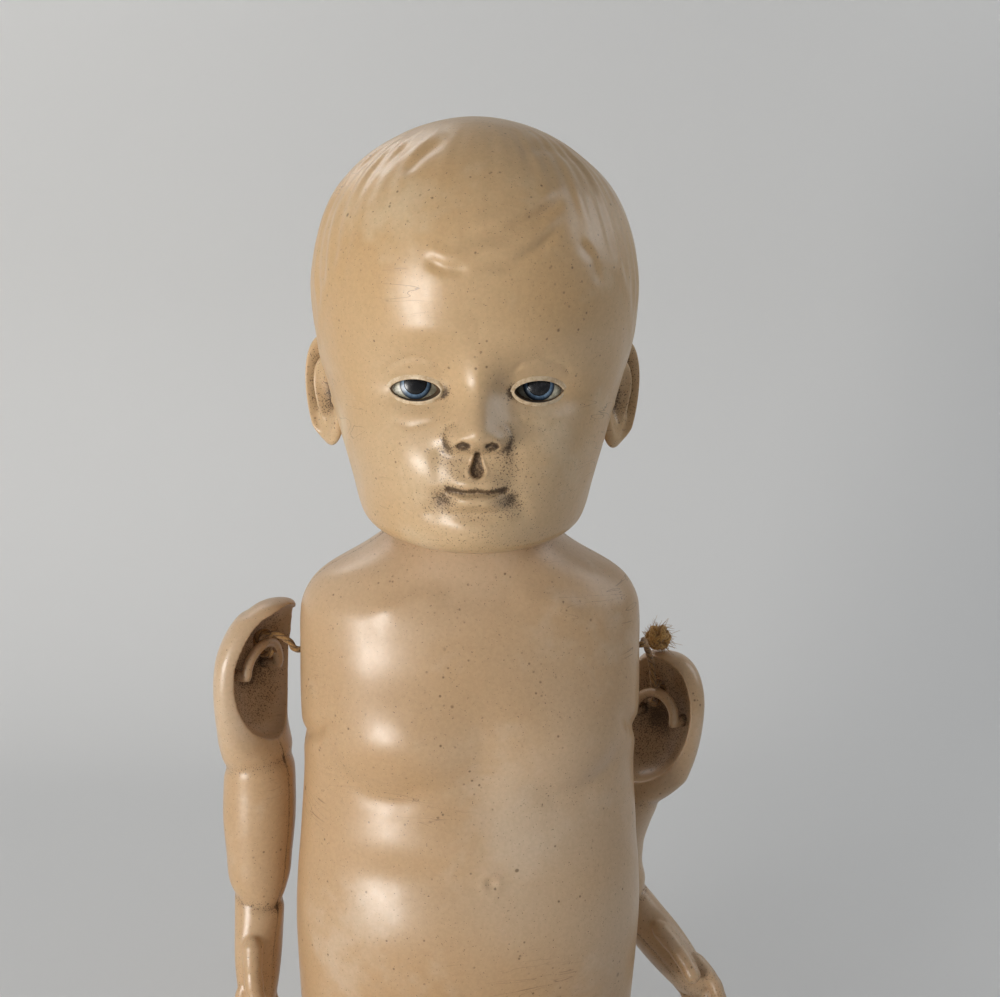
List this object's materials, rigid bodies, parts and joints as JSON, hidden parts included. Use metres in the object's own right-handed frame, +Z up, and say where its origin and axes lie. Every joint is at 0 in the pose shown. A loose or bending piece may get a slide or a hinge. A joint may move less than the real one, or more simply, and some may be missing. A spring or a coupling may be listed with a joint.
{
  "type": "ball jointed doll",
  "caption": "Seated ball jointed baby doll with moulded hair, inset blue eyes, hollow strung limbs and open shoulder cups.",
  "frame": {"origin": "centre of the flat seat, below the shoulder holes", "axes": "+Z up, -Y to the front of the doll, +X to the doll's left"},
  "size_m": [0.1538, 0.1677, 0.3047],
  "materials": {
    "head_shell": "aged yellow tan moulded shell, semi gloss, dirt in the hollows",
    "body_shell": "aged pinkish tan moulded shell, semi gloss",
    "eye_glass": "greyed eye white, glossy",
    "iris_blue": "dark blue, glossy",
    "pupil_black": "black, glossy",
    "twine": "golden brown frayed twine",
    "elastic": "off white elastic cord",
    "wire": "dull steel wire",
    "dowel_wood": "plain turned wood"
  },
  "bodies": {
    "torso": {"torso_front": "body_shell", "torso_back": "body_shell", "shoulder_twine": "twine", "neck_elastic": "elastic", "hip_elastic": "elastic"},
    "neck_swivel": {"neck_hook": "wire"},
    "head": {"head_front": "head_shell", "head_back": "head_shell", "neck_dowel": "dowel_wood", "right_eyeball": "eye_glass", "right_iris": "iris_blue", "right_pupil": "pupil_black", "left_eyeball": "eye_glass", "left_iris": "iris_blue", "left_pupil": "pupil_black"},
    "right_arm_string": {"right_arm_twine": "twine"},
    "right_arm": {"right_arm_front": "body_shell", "right_arm_back": "body_shell", "right_arm_arch": "body_shell"},
    "right_leg_string": {"right_leg_hook": "wire"},
    "right_leg": {"right_leg_inner": "body_shell", "right_leg_outer": "body_shell"},
    "left_arm_string": {"left_arm_twine": "twine", "left_twine_knot": "twine"},
    "left_arm": {"left_arm_front": "body_shell", "left_arm_back": "body_shell", "left_arm_arch": "body_shell"},
    "left_leg_string": {"left_leg_hook": "wire"},
    "left_leg": {"left_leg_inner": "body_shell", "left_leg_outer": "body_shell"}
  },
  "joints": [
    {"name": "neck_turn", "type": "hinge", "parent": "torso", "child": "neck_swivel", "pos_m": [0, 0.002, 0.179], "axis": [0, 0, 1], "range_deg": [-64, 76]},
    {"name": "neck_nod", "type": "hinge", "parent": "neck_swivel", "child": "head", "pos_m": [0, 0.002, 0.179], "axis": [0.9981, -0.061, 0], "range_deg": [-8, 4]},
    {"name": "right_arm_swing", "type": "hinge", "parent": "torso", "child": "right_arm_string", "pos_m": [-0.0493, 0, 0.157], "axis": [1, 0, 0], "range_deg": [-150, 60]},
    {"name": "right_arm_twist", "type": "hinge", "parent": "right_arm_string", "child": "right_arm", "pos_m": [-0.0576, 0.005, 0.149], "axis": [0, 0, 1], "range_deg": [0, 28]},
    {"name": "right_leg_swing", "type": "hinge", "parent": "torso", "child": "right_leg_string", "pos_m": [-0.014, 0, 0.024], "axis": [1, 0, 0], "range_deg": [-6, 75]},
    {"name": "right_leg_spread", "type": "hinge", "parent": "right_leg_string", "child": "right_leg", "pos_m": [-0.014, 0, 0.024], "axis": [0, 0, 1], "range_deg": [-8, 3]},
    {"name": "left_arm_lift", "type": "hinge", "parent": "torso", "child": "left_arm_string", "pos_m": [0.0493, 0, 0.157], "axis": [0, -1, 0], "range_deg": [0, 75]},
    {"name": "left_arm_twist", "type": "hinge", "parent": "left_arm_string", "child": "left_arm", "pos_m": [0.056, 0.016, 0.1285], "axis": [0, 0, 1], "range_deg": [-28, 0]},
    {"name": "left_leg_swing", "type": "hinge", "parent": "torso", "child": "left_leg_string", "pos_m": [0.014, 0, 0.024], "axis": [1, 0, 0], "range_deg": [-6, 75]},
    {"name": "left_leg_spread", "type": "hinge", "parent": "left_leg_string", "child": "left_leg", "pos_m": [0.014, 0, 0.024], "axis": [0, 0, 1], "range_deg": [-3, 8]}
  ]
}
